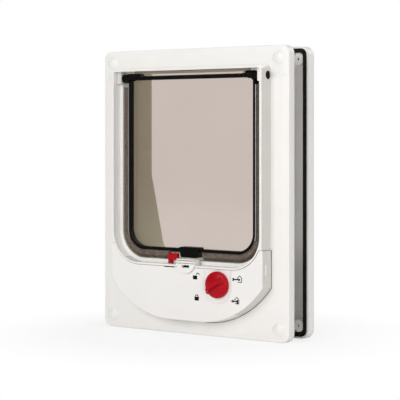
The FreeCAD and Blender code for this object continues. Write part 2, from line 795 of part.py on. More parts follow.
def lock_lever():
    y0 = LEVER_FRONT
    y1 = LEVER_BACK
    foot_low = FOOT_TOP - FOOT_T
    middle = (FOOT_TOP + foot_low) / 2
    inner = LEVER_LEFT + LEVER_LEG
    leg = [(LEVER_LEFT, LEVER_TOP, LEVER_R), (LEVER_TIP, LEVER_TOP, LEVER_R),
           (LEVER_TIP, LEVER_ARM_LOW, LEVER_R), (inner, LEVER_ARM_LOW, LEVER_R / 2), (inner, middle, 0),
           (LEVER_LEFT, middle, 0)]
    foot = box(LEVER_LEFT + LEVER_PLAY, foot_right() - LEVER_PLAY, FOOT_FRONT, y1, foot_low, FOOT_TOP)
    stem_right = foot_right() - LEVER_PLAY
    stem_left = stem_right - LINK_W
    tip_z = KNOB_Z - CAM_R - CAM_GAP - FOLLOWER_R
    link_top = LINK_LOW + LINK_H
    right = KNOB_X + FOLLOWER_R
    left = KNOB_X - FOLLOWER_R
    link = [(stem_left, middle, 0), (stem_right, middle, 0), (stem_right, link_top, LINK_R),
            (left, link_top, LINK_R), (left, tip_z, 0), (right, tip_z, 0), (right, LINK_LOW, LINK_R),
            (stem_left, LINK_LOW, LINK_R)]
    tip = rod_y(FOLLOWER_R, KNOB_X, tip_z, y0, y1)
    return slab(leg, y0, y1).fuse([foot, slab(link, y0, y1), tip]).removeSplitter()


def lever_spring():
    x = (SHELF_LEFT + SHELF_RIGHT) / 2
    y = (FOOT_FRONT + LEVER_BACK) / 2
    return spring_tube(x, y, SHELF_TOP + SPRING_PLAY, FOOT_TOP - FOOT_T - SPRING_PLAY, LEVER_SPRING_R)


def cam_spindle():
    """Shaft behind the knob with a cam whose radius grows evenly over the turn."""
    points = []
    turn_all = math.radians(CAM_TURN)
    lead = math.radians(CAM_LEAD)
    for i in range(CAM_POINTS + 1):
        turn = -lead + (turn_all + 2 * lead) * i / CAM_POINTS
        r = CAM_R + STROKE * turn / turn_all
        angle = turn - math.pi / 2
        points.append(V(KNOB_X + r * math.cos(angle), CAM_FRONT, KNOB_Z + r * math.sin(angle)))
    curve = Part.BSplineCurve()
    curve.interpolate(points)
    closing = Part.LineSegment(points[-1], points[0])
    cam = prism(Part.Wire([curve.toShape(), closing.toShape()]), CAM_T)
    shaft = rod_y(SPINDLE_R, KNOB_X, KNOB_Z, KNOB_SEAT - SPINDLE_NOSE, CAM_FRONT + CAM_T)
    journal = rod_y(JOURNAL_R, KNOB_X, KNOB_Z, CAM_FRONT, -WELL_FLOOR - COIL_PLAY)
    hub = rod_y(SPINDLE_R + HUB_WALL, KNOB_X, KNOB_Z, CAM_FRONT, CAM_FRONT + CAM_T + HUB_WALL)
    return shaft.fuse([cam, journal, hub]).removeSplitter()


def knob_disc():
    """Turned body of the knob: straight edge, rounded shoulder, shallow dome."""
    back = KNOB_SEAT - KNOB_GAP
    brow_r = KNOB_R - KNOB_EDGE
    brow_y = KNOB_SHOULDER - KNOB_EDGE
    bend = KNOB_EDGE * (1 - math.sqrt(0.5))
    rise = brow_y - KNOB_DOME
    ball_r = (brow_r ** 2 + rise ** 2) / (2 * rise)
    half = brow_r / 2
    mid_y = KNOB_DOME + ball_r - math.sqrt(ball_r ** 2 - half ** 2)
    brow = V(brow_r, brow_y, 0)
    shoulder = Part.Arc(V(KNOB_R, KNOB_SHOULDER, 0), V(KNOB_R - bend, brow_y + bend, 0), brow)
    dome = Part.Arc(brow, V(half, mid_y, 0), V(0, KNOB_DOME, 0))
    corners = [V(0, KNOB_DOME, 0), V(0, back, 0), V(KNOB_R, back, 0), V(KNOB_R, KNOB_SHOULDER, 0)]
    edges = [shoulder.toShape(), dome.toShape()]
    edges += [Part.LineSegment(a, b).toShape() for a, b in zip(corners, corners[1:])]
    wire = Part.Wire(Part.sortEdges(edges)[0])
    return Part.Face(wire).revolve(V(0, 0, 0), V(0, 1, 0), 360)


def ridge_wire(x0, x1, half0, half1, y):
    right = [(x1, half1, RIDGE_R), (x1, -half1, RIDGE_R)]
    return rounded([(x0, half0, RIDGE_R)] + right + [(x0, -half0, RIDGE_R)], y)


def selector_knob():
    """Knob with a beak along -X and a sloping grip ridge, then turned to its place."""
    beak_face = KNOB_SHOULDER + BEAK_DROP
    root = -KNOB_R + BEAK_LEN
    beak = slab([(-KNOB_TIP, BEAK_TIP_W / 2, BEAK_R), (root, BEAK_W / 2, 0), (root, -BEAK_W / 2, 0),
                 (-KNOB_TIP, -BEAK_TIP_W / 2, BEAK_R)], beak_face, KNOB_SEAT - BEAK_LIFT)
    tail = KNOB_R - RIDGE_END
    nose = -KNOB_TIP + 2 * BEAK_DOT_IN
    foot = ridge_wire(nose, tail, RIDGE_NOSE_W / 2, RIDGE_FOOT_W / 2, beak_face)
    crest = ridge_wire(nose + RIDGE_SLOPE, tail - RIDGE_SLOPE, RIDGE_TOP_W / 2, RIDGE_TOP_W / 2, RIDGE_FACE)
    ridge = Part.makeLoft([foot, crest], True, True)
    body = knob_disc().fuse([beak, ridge])
    dot = rod_y(BEAK_DOT_R, -KNOB_TIP + BEAK_DOT_IN, 0, beak_face - OVER, beak_face + BEAK_DOT_DEEP)
    body = body.cut([rod_y(SPINDLE_R + FIT, 0, 0, KNOB_SEAT - SPINDLE_NOSE - FIT, KNOB_SEAT + OVER), dot])
    body.rotate(V(0, 0, 0), V(0, 1, 0), 180 - POINTER)
    body.translate(V(KNOB_X, 0, KNOB_Z))
    return body.removeSplitter()


def flap_outline(grow, low_grow, top):
    return rectangle(FLAP_HALF + grow, FLAP_LOW - low_grow, top, FLAP_R + grow, 0)


def barrel(side, length):
    """Knuckle outside the band and the thick end of the hinge bar inside it, flat underneath."""
    knuckle = rod_x(KNUCKLE_R, AXIS_Y, AXIS_Z, FLAP_HALF - BAND, BARREL_END)
    end = edges_where(knuckle, lambda e: e.BoundBox.XMin > BARREL_END - THIN)
    knuckle = knuckle.makeFillet(KNUCKLE_ROUND, end)
    inner = BARREL_END - length
    thick = rod_x(BARREL_R, AXIS_Y, AXIS_Z, inner, FLAP_HALF)
    cone = Part.makeCone(BARREL_R, BAR_R, TAPER, V(inner, AXIS_Y, AXIS_Z), V(-1, 0, 0))
    above = box(0, FLAP_HALF, AXIS_Y - 2 * BARREL_R, AXIS_Y + 2 * BARREL_R, AXIS_Z + BAR_RISE - BAR_R,
                AXIS_Z + 2 * BARREL_R)
    body = knuckle.fuse(thick.fuse(cone).common(above))
    return body if side > 0 else body.mirror(V(0, 0, 0), V(1, 0, 0))


def flap_frame():
    y0 = FLAP_FRONT
    y1 = FLAP_FRONT + GLASS_DEPTH + GLASS_T
    top = AXIS_Z + BAR_RISE - BAR_R
    ring = slab(flap_outline(0, 0, AXIS_Z - BAND_TOP), y0, y1)
    ring = ring.cut(slab(flap_outline(-BAND, -BAND_LOW, top - BAR_SKIN / 2), y0 - OVER, y1 + OVER))
    bar = rod_x(BAR_R, AXIS_Y, AXIS_Z + BAR_RISE, -FLAP_HALF, FLAP_HALF)
    body = ring.fuse([bar, barrel(-1, THICK_LEFT), barrel(1, THICK_RIGHT)])
    rebate = slab(flap_outline(-BAND_LEDGE, -BAND_LEDGE, AXIS_Z + AXIS_DROP), y0 + GLASS_DEPTH, y1 + OVER)
    bore = rod_x(PIN_NECK_R + NECK_PLAY, AXIS_Y, AXIS_Z, BARREL_END - PIN_DEPTH, BARREL_END + OVER)
    mirrored = bore.mirror(V(0, 0, 0), V(1, 0, 0))
    return body.cut([bore, mirrored, rebate]).removeSplitter()


def flap_window():
    y0 = FLAP_FRONT + GLASS_DEPTH
    inset = -BAND_LEDGE - GLASS_PLAY
    return slab(flap_outline(inset, inset, AXIS_Z - GLASS_TOP), y0, y0 + GLASS_T)


def pivot_pin(side):
    """Pin pressed into the knuckle, its head running in the surround wall."""
    end = SURROUND_HALF - PIN_SINK
    head_start = BARREL_END + HINGE_END
    head = rod_x(PIN_R, AXIS_Y, AXIS_Z, head_start, end)
    head = head.makeFillet(PIN_ROUND, edges_where(head, lambda e: e.BoundBox.XMin > end - THIN))
    neck = rod_x(PIN_NECK_R, AXIS_Y, AXIS_Z, BARREL_END - PIN_DEPTH + HINGE_PLAY, head_start)
    pin = head.fuse(neck).removeSplitter()
    return pin if side > 0 else pin.mirror(V(0, 0, 0), V(1, 0, 0))


def edge_band(inner, outer, outer_low, y0, y1):
    """Band that follows the flap's edge between two offsets."""
    band = slab(flap_outline(outer, outer_low, BRUSH_TOP), y0, y1)
    return band.cut(slab(flap_outline(inner, inner, BRUSH_TOP + OVER), y0 - OVER, y1 + OVER))


def side_part(shape, side):
    """The part of a band left or right of the gap at the latch block."""
    x0 = -FLANGE_W if side < 0 else BRUSH_GAP_RIGHT
    x1 = BRUSH_GAP_LEFT if side < 0 else FLANGE_W
    return shape.common(box(x0, x1, -FLANGE_W, FLANGE_W, -FLANGE_H, FLANGE_H))


def brush_carrier(side):
    y0 = BRUSH_FRONT - CARRIER_WALL
    return side_part(edge_band(0, CARRIER_T, CARRIER_T, y0, y0 + BRUSH_T + 2 * CARRIER_WALL), side)


def brush(side):
    band = edge_band(CARRIER_T, BRUSH_TIP, BRUSH_LOW_TIP, BRUSH_FRONT, BRUSH_FRONT + BRUSH_T)
    return side_part(band, side)


def latch_block():
    """Block clipped over the band: cheeks in front and behind, the band and the window let in."""
    points = [(BLOCK_X - BLOCK_TOP_HALF, BLOCK_TOP, BLOCK_R), (BLOCK_X + BLOCK_TOP_HALF, BLOCK_TOP, BLOCK_R),
              (BLOCK_X + BLOCK_LOW_HALF, BLOCK_LOW, BLOCK_R), (BLOCK_X - BLOCK_LOW_HALF, BLOCK_LOW, BLOCK_R)]
    body = slab(points, BLOCK_FRONT, BLOCK_BACK)
    body = body.makeFillet(BLOCK_ROUND, edges_where(body, lambda e: on_plane_y(e, BLOCK_FRONT)))
    y0 = FLAP_FRONT
    y1 = y0 + GLASS_DEPTH + GLASS_T
    band = box(-FLAP_HALF, FLAP_HALF, y0, y1, FLAP_LOW, FLAP_LOW + BAND_LOW)
    window = box(-FLAP_HALF, FLAP_HALF, y0 + GLASS_DEPTH, y1, FLAP_LOW, BLOCK_TOP + OVER)
    y, z = magnet_place()
    half = MAGNET_LEN / 2 + MAGNET_PLAY
    bore = rod_x(MAGNET_R + MAGNET_PLAY, y, z, BLOCK_X - half, BLOCK_X + half)
    return body.cut([band, window, bore])


def magnet_place():
    return ((FLAP_FRONT + BLOCK_BACK) / 2, (FLAP_LOW + BLOCK_LOW) / 2)


def flap_magnet():
    y, z = magnet_place()
    return rod_x(MAGNET_R, y, z, BLOCK_X - MAGNET_LEN / 2, BLOCK_X + MAGNET_LEN / 2)


def seal_place(y0, y1):
    outer = slab(flange_outline(SEAL_EDGE), y0, y1)
    return outer.cut(slab(flange_outline(SEAL_EDGE + SEAL_W), y0 - OVER, y1 + OVER))


def outer_frame():
    body = slab(flange_outline(0), OUTER_FRONT, OUTER_BACK)
    body = body.makeFillet(OUTER_ROUND, edges_where(body, lambda e: on_plane_y(e, OUTER_BACK)))
    body = body.cut(slab(flange_outline(OUTER_WALL), OUTER_FRONT - OVER, OUTER_BACK - OUTER_PLATE))
    collar = TUNNEL_WALL + COLLAR_PLAY
    adds = [slab(tunnel_outline(collar + COLLAR_WALL, LINER_R), OUTER_FRONT, OUTER_BACK)]
    cuts = [slab(tunnel_outline(collar, LINER_R), OUTER_FRONT - OVER, OUTER_BACK + OVER),
            seal_place(OUTER_FRONT - OVER, OUTER_FRONT + SEAL_SUNK)]
    for x, z in screw_places():
        adds.append(rod_y(OUTER_BOSS_R, x, z, OUTER_FRONT, OUTER_BACK - OUTER_PLATE))
        cuts.append(rod_y(PILOT_R, x, z, OUTER_FRONT - OVER, OUTER_BACK - OUTER_PLATE))
    return body.fuse(adds).cut(cuts).removeSplitter()


def weather_seal():
    return seal_place(OUTER_FRONT - SEAL_PROUD, OUTER_FRONT + SEAL_SUNK)


def well_left(z):
    """Inner face of the well's left wall at a height on its round part."""
    r = BULGE_R - WELL_INSET - WELL_WALL
    return -BULGE_X - math.sqrt(r ** 2 - (z - BULGE_LOW - BULGE_R) ** 2)


def cell_places():
    """Left end and height of each cell, kept clear of the well's round wall."""
    places = []
    for z in (CELL_Z, CELL_Z - CELL_PITCH):
        places.append((max(CELL_X, well_left(z - CELL_R) + CELL_PLAY), z))
    return places


def battery_cells():
    cells = []
    for x, z in cell_places():
        end = x + CELL_LEN
        cell = rod_x(CELL_R, CELL_Y, z, x, end)
        cell = cell.makeChamfer(CELL_ROUND, edges_where(cell, lambda e: e.BoundBox.XLength < THIN))
        cells.append(cell.fuse(rod_x(NUB_R, CELL_Y, z, end, end + NUB_LEN)))
    return Part.makeCompound(cells)


def battery_contacts():
    plates = []
    for x, z in cell_places():
        for start in (x - CONTACT_T - CONTACT_PLAY, x + CELL_LEN + NUB_LEN + CONTACT_PLAY):
            plates.append(box(start, start + CONTACT_T, CELL_Y - CONTACT_HALF, -WELL_FLOOR, z - CONTACT_HALF,
                              z + CONTACT_HALF))
    return Part.makeCompound(plates)


def circuit_board():
    board = box(BOARD_LEFT, BOARD_RIGHT, BOARD_Y, BOARD_Y + BOARD_T, BOARD_LOW, BOARD_TOP)
    r = BOARD_SCREW_R + BOARD_SCREW_PLAY
    return board.cut([rod_y(r, x, z, BOARD_Y - OVER, 0) for x, z in board_screw_places()])


def board_parts():
    x0 = BOARD_LEFT + PART_MARGIN
    z0 = BOARD_LOW + PART_MARGIN
    chip = box(x0, x0 + CHIP_W, BOARD_Y - CHIP_T, BOARD_Y, z0, z0 + CHIP_H)
    can = rod_y(CAN_R, BOARD_RIGHT - PART_MARGIN - CAN_R, z0 + CAN_R, BOARD_Y - CAN_H, BOARD_Y)
    rim = edges_where(can, lambda e: on_plane_y(e, BOARD_Y - CAN_H))
    return Part.makeCompound([chip, can.makeFillet(CAN_ROUND, rim)])


def board_screws():
    screws = []
    for x, z in board_screw_places():
        head = rod_y(BOARD_HEAD_R, x, z, BOARD_Y - BOARD_HEAD, BOARD_Y)
        screws.append(head.fuse(rod_y(BOARD_SCREW_R, x, z, BOARD_Y, -WELL_FLOOR - COIL_PLAY)))
    return Part.makeCompound(screws)


def export(name, shape):
    print(name, len(shape.Solids), shape.isValid(), round(shape.Volume, 1))
    shape.exportStep("parts/" + name + ".step")


export("inner_frame", inner_frame())
export("screw_caps", screw_caps())
export("draught_lip", lip_box(0, AXIS_Z + LIP_RISE))
export("control_cover", control_cover())
export("catch_guard", catch_guard())
export("latch_bolt", latch_bolt())
export("coil_yoke", coil_yoke())
export("magnet_coil", magnet_coil())
export("bolt_spring", bolt_spring())
export("lock_lever", lock_lever())
export("lever_spring", lever_spring())
export("cam_spindle", cam_spindle())
export("selector_knob", selector_knob())
export("flap_frame", flap_frame())
export("flap_window", flap_window())
export("pivot_pin_left", pivot_pin(-1))
export("pivot_pin_right", pivot_pin(1))
export("brush_carrier_left", brush_carrier(-1))
export("brush_carrier_right", brush_carrier(1))
export("brush_left", brush(-1))
export("brush_right", brush(1))
export("latch_block", latch_block())
export("flap_magnet", flap_magnet())
export("outer_frame", outer_frame())
export("weather_seal", weather_seal())
export("battery_cells", battery_cells())
export("battery_contacts", battery_contacts())
export("circuit_board", circuit_board())
export("board_parts", board_parts())
export("board_screws", board_screws())
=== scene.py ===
import json
import math
import random

import bmesh
import bpy
from mathutils import Matrix, Vector


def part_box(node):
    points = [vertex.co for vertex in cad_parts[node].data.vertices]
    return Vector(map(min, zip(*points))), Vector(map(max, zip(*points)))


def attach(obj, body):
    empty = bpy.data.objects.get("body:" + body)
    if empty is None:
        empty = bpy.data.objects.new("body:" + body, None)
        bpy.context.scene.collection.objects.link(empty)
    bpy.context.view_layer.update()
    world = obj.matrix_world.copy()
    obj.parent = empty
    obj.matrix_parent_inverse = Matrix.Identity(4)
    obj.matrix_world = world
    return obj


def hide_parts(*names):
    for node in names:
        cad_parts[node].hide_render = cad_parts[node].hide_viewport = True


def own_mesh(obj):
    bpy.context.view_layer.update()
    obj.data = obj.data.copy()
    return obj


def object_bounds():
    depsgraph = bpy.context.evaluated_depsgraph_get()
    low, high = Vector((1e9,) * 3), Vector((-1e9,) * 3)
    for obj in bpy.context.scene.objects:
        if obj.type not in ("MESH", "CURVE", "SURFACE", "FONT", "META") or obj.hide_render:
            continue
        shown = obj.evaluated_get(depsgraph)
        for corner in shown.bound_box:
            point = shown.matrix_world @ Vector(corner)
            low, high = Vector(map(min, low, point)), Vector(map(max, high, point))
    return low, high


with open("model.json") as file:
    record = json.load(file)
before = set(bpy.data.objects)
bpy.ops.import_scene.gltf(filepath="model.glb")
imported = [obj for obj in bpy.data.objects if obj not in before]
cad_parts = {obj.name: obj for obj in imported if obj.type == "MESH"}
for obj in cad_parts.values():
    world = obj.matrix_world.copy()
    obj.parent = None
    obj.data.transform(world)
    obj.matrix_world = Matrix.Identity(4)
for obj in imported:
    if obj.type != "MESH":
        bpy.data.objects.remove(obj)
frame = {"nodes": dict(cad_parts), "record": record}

cad_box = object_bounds()
nodes = frame["nodes"]
MM = 0.001

# Camera, solved from the photograph: level, standing to the right of the object's normal
YAW = math.radians(35.0)
CAMERA_AT = (0.7211, -1.0273, 0.0509)
FOCAL_PX = 1405.0
IMAGE_PX = 400.0
HORIZON_PX = 134.0
SENSOR_MM = 36.0

# Floor: lowest place of the object, and the distances over which it turns white
FLOOR_Z = cad_box[0][2]
FLOOR_R = 14.0
WHITE_FROM, WHITE_TO = 0.1, 0.2

# Reach of the painted shade in creases
CREASE = 0.0025
CREASE_BOX = ((-0.0834, -0.05, -0.124), (0.0834, -0.0075, 0.116))
# Outer walls of the surround and of its belly, where shade is painted, in mirrored pairs: inner x, lowest
# z, highest z
WALL_OUT = 0.0834
WALL_Y = (-0.05, -0.0096)
WALL_PAIRS = ((0.0806, -0.06, 0.12), (0.0525, -0.124, -0.06))
# Left pivot boss, painted darker as shade of the surround
BOSS_BOX = ((-0.0789, -0.0179, 0.0962), (-0.0732, -0.0076, 0.1073))
# Room inside the sleeve behind the flap, where a darker, greener shade is painted
LINER_BOX = ((-0.0756, -0.004, -0.0614), (0.0756, 0.06, 0.1074))


def new_material(name):
    material = bpy.data.materials.new(name)
    material.use_nodes = True
    tree = material.node_tree
    shader = tree.nodes["Principled BSDF"]
    return material, tree, shader


def object_coords(tree):
    return tree.nodes.new("ShaderNodeTexCoord").outputs["Object"]


def noise(tree, scale, detail=3.0, roughness=0.5, stretch=None):
    texture = tree.nodes.new("ShaderNodeTexNoise")
    texture.inputs["Scale"].default_value = scale
    texture.inputs["Detail"].default_value = detail
    texture.inputs["Roughness"].default_value = roughness
    source = object_coords(tree)
    if stretch:
        mapping = tree.nodes.new("ShaderNodeMapping")
        mapping.inputs["Scale"].default_value = stretch
        tree.links.new(source, mapping.inputs["Vector"])
        source = mapping.outputs["Vector"]
    tree.links.new(source, texture.inputs["Vector"])
    return texture.outputs["Fac"]


def ramp(tree, factor, stops):
    node = tree.nodes.new("ShaderNodeValToRGB")
    elements = node.color_ramp.elements
    while len(elements) < len(stops):
        elements.new(0.5)
    for element, (place, colour) in zip(elements, stops):
        element.position = place
        element.color = (*colour, 1.0)
    tree.links.new(factor, node.inputs["Fac"])
    return node.outputs["Color"]


def span(tree, factor, low, high, from_low=0.0, from_high=1.0):
    node = tree.nodes.new("ShaderNodeMapRange")
    node.inputs["From Min"].default_value = from_low
    node.inputs["From Max"].default_value = from_high
    node.inputs["To Min"].default_value = low
    node.inputs["To Max"].default_value = high
    tree.links.new(factor, node.inputs["Value"])
    return node.outputs["Result"]


def bump(tree, shader, height, strength, distance, below=None):
    node = tree.nodes.new("ShaderNodeBump")
    node.inputs["Strength"].default_value = strength
    node.inputs["Distance"].default_value = distance
    tree.links.new(height, node.inputs["Height"])
    if below is not None:
        tree.links.new(below, node.inputs["Normal"])
    tree.links.new(node.outputs["Normal"], shader.inputs["Normal"])
    return node.outputs["Normal"]


def join(tree, operation, first, second):
    node = tree.nodes.new("ShaderNodeMath")
    node.operation = operation
    tree.links.new(first, node.inputs[0])
    tree.links.new(second, node.inputs[1])
    return node.outputs[0]


def box_mask(tree, low, high):
    """1 inside a box in the object's own coordinates, 0 outside it."""
    split = tree.nodes.new("ShaderNodeSeparateXYZ")
    tree.links.new(object_coords(tree), split.inputs[0])
    mask = None
    for axis in range(3):
        middle = (low[axis] + high[axis]) / 2
        compare = tree.nodes.new("ShaderNodeMath")
        compare.operation = "COMPARE"
        compare.inputs[1].default_value = middle
        compare.inputs[2].default_value = (high[axis] - low[axis]) / 2
        tree.links.new(split.outputs[axis], compare.inputs[0])
        if mask is None:
            mask = compare.outputs[0]
        else:
            mask = join(tree, "MULTIPLY", mask, compare.outputs[0])
    return mask


def multiply(tree, base, tint, factor):
    """Base colour times a tint, where the factor is 1."""
    mix = tree.nodes.new("ShaderNodeMix")
    mix.data_type = "RGBA"
    mix.blend_type = "MULTIPLY"
    if isinstance(tint, tuple):
        mix.inputs[7].default_value = (*tint, 1.0)
    else:
        tree.links.new(tint, mix.inputs[7])
    tree.links.new(factor, mix.inputs[0])
    tree.links.new(base, mix.inputs[6])
    return mix.outputs[2]


def tint_box(tree, base, tint, room):
    """Base colour times a tint, inside one box."""
    return multiply(tree, base, tint, box_mask(tree, *room))


def wall_boxes():
    boxes = []
    for inner, low, high in WALL_PAIRS:
        for x0, x1 in ((inner, WALL_OUT), (-WALL_OUT, -inner)):
            boxes.append(((x0, WALL_Y[0], low), (x1, WALL_Y[1], high)))
    return boxes


def paint_wall_shade(tree, base, tint):
    """Paints shade on the outer walls of the surround, the less the more they face the room."""
    mask = None
    for room in wall_boxes():
        part = box_mask(tree, *room)
        if mask is None:
            mask = part
        else:
            mask = join(tree, "MAXIMUM", mask, part)
    geometry = tree.nodes.new("ShaderNodeNewGeometry")
    split = tree.nodes.new("ShaderNodeSeparateXYZ")
    tree.links.new(geometry.outputs["True Normal"], split.inputs[0])
    turned = span(tree, split.outputs["Y"], 0.0, 1.0, -0.8, -0.3)
    return multiply(tree, base, tint, join(tree, "MULTIPLY", mask, turned))


def paint_crease_shade(tree, base):
    """Paints shade into seams, feet of walls and inner corners, darkening them a little."""
    near = tree.nodes.new("ShaderNodeAmbientOcclusion")
    near.samples = 12
    near.inputs["Distance"].default_value = CREASE
    shade = ramp(tree, near.outputs["AO"], [(0.0, (0.12, 0.1, 0.08)), (0.3, (0.5, 0.48, 0.46)),
                                            (0.5, (0.93, 0.925, 0.92)), (0.7, (1.0, 1.0, 1.0))])
    return multiply(tree, base, shade, box_mask(tree, *CREASE_BOX))


def moulded(name, colour, shade, rough, rough_spread=0.06, grain=0.15, specular=0.5, coat=0.0, liner_shade=None,
            creases=False, walls=None):
    """Moulded plastic: faint mottling, fine grain, soft sink marks; where asked, painted shade in the
    creases, inside the sleeve and on the outer walls.
    """
    material, tree, shader = new_material(name)
    cloud = noise(tree, 22.0, 4.0, 0.55)
    base = ramp(tree, cloud, [(0.3, shade), (0.7, colour)])
    # Painted shade inside the sleeve behind the flap
    if liner_shade:
        base = tint_box(tree, base, liner_shade, LINER_BOX)
    # Painted shade on the outer walls of the surround and on the left pivot boss
    if walls:
        base = paint_wall_shade(tree, base, walls)
        base = tint_box(tree, base, walls, BOSS_BOX)
    # Painted shade in seams, at feet of walls and in inner corners
    if creases:
        base = paint_crease_shade(tree, base)
    tree.links.new(base, shader.inputs["Base Color"])
    haze = noise(tree, 90.0, 3.0, 0.6)
    tree.links.new(span(tree, haze, rough - rough_spread, rough + rough_spread), shader.inputs["Roughness"])
    sink = bump(tree, shader, noise(tree, 35.0, 1.0), 0.25, 0.0002)
    bump(tree, shader, noise(tree, 2600.0, 2.0), grain, 0.00006, sink)
    shader.inputs["Specular IOR Level"].default_value = specular
    shader.inputs["Coat Weight"].default_value = coat
    shader.inputs["Coat Roughness"].default_value = 0.12
    return material


def tinted_window():
    """Smoke-tinted clear sheet with faint hairlines and a moulding haze."""
    material, tree, shader = new_material("tinted_sheet")
    haze = noise(tree, 9.0, 2.0)
    tint = ramp(tree, haze, [(0.3, (0.58, 0.503, 0.462)), (0.7, (0.608, 0.528, 0.484))])
    tree.links.new(tint, shader.inputs["Base Color"])
    scratch = noise(tree, 700.0, 2.0, 0.5, (1.0, 1.0, 0.03))
    tree.links.new(span(tree, scratch, 0.015, 0.05, 0.5, 0.9), shader.inputs["Roughness"])
    bump(tree, shader, scratch, 0.05, 0.00001)
    shader.inputs["Transmission Weight"].default_value = 1.0
    shader.inputs["IOR"].default_value = 1.45
    return material


def pile():
    """Dense pile, a brown grey that varies from fibre to fibre."""
    material, tree, shader = new_material("pile_fibre")
    streak = noise(tree, 900.0, 2.0, 0.6)
    tree.links.new(ramp(tree, streak, [(0.25, (0.1, 0.078, 0.06)), (0.5, (0.24, 0.19, 0.15)),
                                       (0.8, (0.42, 0.345, 0.28))]), shader.inputs["Base Color"])
    tree.links.new(span(tree, noise(tree, 200.0), 0.55, 0.75), shader.inputs["Roughness"])
    shader.inputs["Specular IOR Level"].default_value = 0.25
    return material


def foam():
    """Closed-cell foam of the weather seal."""
    material, tree, shader = new_material("cell_foam")
    cells = tree.nodes.new("ShaderNodeTexVoronoi")
    cells.inputs["Scale"].default_value = 1500.0
    tree.links.new(object_coords(tree), cells.inputs["Vector"])
    black = ramp(tree, noise(tree, 300.0), [(0.3, (0.006, 0.006, 0.006)), (0.8, (0.018, 0.018, 0.018))])
    tree.links.new(black, shader.inputs["Base Color"])
    tree.links.new(span(tree, noise(tree, 120.0), 0.6, 0.8), shader.inputs["Roughness"])
    shader.inputs["Specular IOR Level"].default_value = 0.12
    bump(tree, shader, cells.outputs["Distance"], 0.5, 0.0001)
    return material


def metal(name, colour, shade, rough, stretch=(1.0, 1.0, 30.0)):
    """Drawn or brushed metal with fine lines along one way."""
    material, tree, shader = new_material(name)
    lines = noise(tree, 400.0, 3.0, 0.6, stretch)
    tree.links.new(ramp(tree, lines, [(0.3, shade), (0.7, colour)]), shader.inputs["Base Color"])
    tree.links.new(span(tree, lines, rough, rough + 0.12), shader.inputs["Roughness"])
    bump(tree, shader, lines, 0.2, 0.00002)
    shader.inputs["Metallic"].default_value = 1.0
    return material


# The white gets painted shade in its creases, inside the sleeve and on the outer walls of the surround
WHITE = moulded("white_moulded", (0.9, 0.885, 0.862), (0.878, 0.862, 0.838), 0.36,
                liner_shade=(0.95, 0.965, 0.8), creases=True, walls=(0.74, 0.73, 0.715))
BLACK = moulded("black_moulded", (0.004, 0.0036, 0.0032), (0.002, 0.0019, 0.0017), 0.4, grain=0.2,
                specular=0.08)
# The red also gets painted shade in its creases
RED = moulded("red_moulded", (0.47, 0.002, 0.01), (0.4, 0.0015, 0.008), 0.24, grain=0.05, specular=0.16,
              creases=True)
GREY = moulded("grey_moulded", (0.42, 0.42, 0.42), (0.36, 0.36, 0.36), 0.4)
GLASS = tinted_window()
PILE = pile()
FOAM = foam()
CARRIER = metal("carrier_metal", (0.72, 0.71, 0.69), (0.55, 0.54, 0.52), 0.3)
STEEL = metal("spring_steel", (0.6, 0.6, 0.62), (0.45, 0.45, 0.47), 0.25)
MAGNET = metal("nickel_magnet", (0.55, 0.54, 0.52), (0.4, 0.4, 0.38), 0.2)
WIRE = metal("copper_winding", (0.6, 0.25, 0.09), (0.4, 0.15, 0.05), 0.3, (1.0, 1.0, 60.0))
CELL = moulded("cell_film", (0.05, 0.07, 0.11), (0.03, 0.05, 0.08), 0.25)
BOARD = moulded("solder_mask", (0.01, 0.12, 0.045), (0.006, 0.08, 0.03), 0.3)
INK = moulded("mark_ink", (0.004, 0.004, 0.0045), (0.002, 0.002, 0.0025), 0.5, specular=0.12)

FINISH = {
    "white_shell": WHITE, "black_plastic": BLACK, "red_plastic": RED, "grey_plastic": GREY,
    "tinted_window": GLASS, "carrier_strip": CARRIER, "brush_pile": PILE, "seal_foam": FOAM,
    "steel": STEEL, "magnet": MAGNET, "copper_wire": WIRE, "cell_jacket": CELL, "board_green": BOARD,
    "board_part": BLACK,
}


def finish_nodes():
    """Gives each carried-over node the material of its slot."""
    for row in frame["record"]["subparts"]:
        mesh = nodes[row["node"]].data
        mesh.materials.clear()
        mesh.materials.append(FINISH[row["material_slot"]])


def mesh_piece(name, bm, material, body):
    mesh = bpy.data.meshes.new(name)
    bm.to_mesh(mesh)
    bm.free()
    piece = bpy.data.objects.new(name, mesh)
    bpy.context.scene.collection.objects.link(piece)
    mesh.materials.append(material)
    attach(piece, body)
    return piece


# Brush: fibres stand along the flap's edge, square to it; shares are of the reach or of the strip's depth
FLAP_HALF = 68.4 * MM
FLAP_LOW = -53.4 * MM
FLAP_R = 18.0 * MM
PILE_LAYERS = 4
PILE_STEP = 0.12 * MM
FIBRE_R = 0.1 * MM
CARRIER_W = 0.8 * MM
PILE_REACH = 6.4 * MM
PILE_DROP = 1.0 * MM
STRIP_FRONT = -12.8 * MM
LATCH_LEFT = -11.2 * MM
LEVER_GAP = 1.7 * MM
PILE_TOP_GAP = 0.1 * MM
PILE_START = 0.05 * MM
PILE_SUNK = 0.7
PILE_FROM, PILE_TO = 0.03, 0.97
PILE_UNEVEN = 0.06
PILE_LEAN = 0.05
BEND_DENSER = 1.3
FACE_FROM = 0.3
FACE_REACH = 0.7
FACE_LIFT = 1.2


def edge_path(side, end_x, top, step):
    """Points and outward directions along the flap's edge, from the top down."""
    points = []
    corner_z = FLAP_LOW + FLAP_R
    corner_x = FLAP_HALF - FLAP_R
    straight = int((top - corner_z) / step)
    for i in range(straight):
        points.append((side * FLAP_HALF, top - i * step, side * 1.0, 0.0))
    bend = int(FLAP_R * math.pi / 2 / step * BEND_DENSER)
    for i in range(bend):
        a = math.pi / 2 * i / bend
        points.append((side * (corner_x + FLAP_R * math.cos(a)), corner_z - FLAP_R * math.sin(a),
                       side * math.cos(a), -math.sin(a)))
    flat = int((corner_x - abs(end_x)) / step)
    for i in range(flat):
        points.append((side * (corner_x - i * step), FLAP_LOW, 0.0, -1.0))
    return points


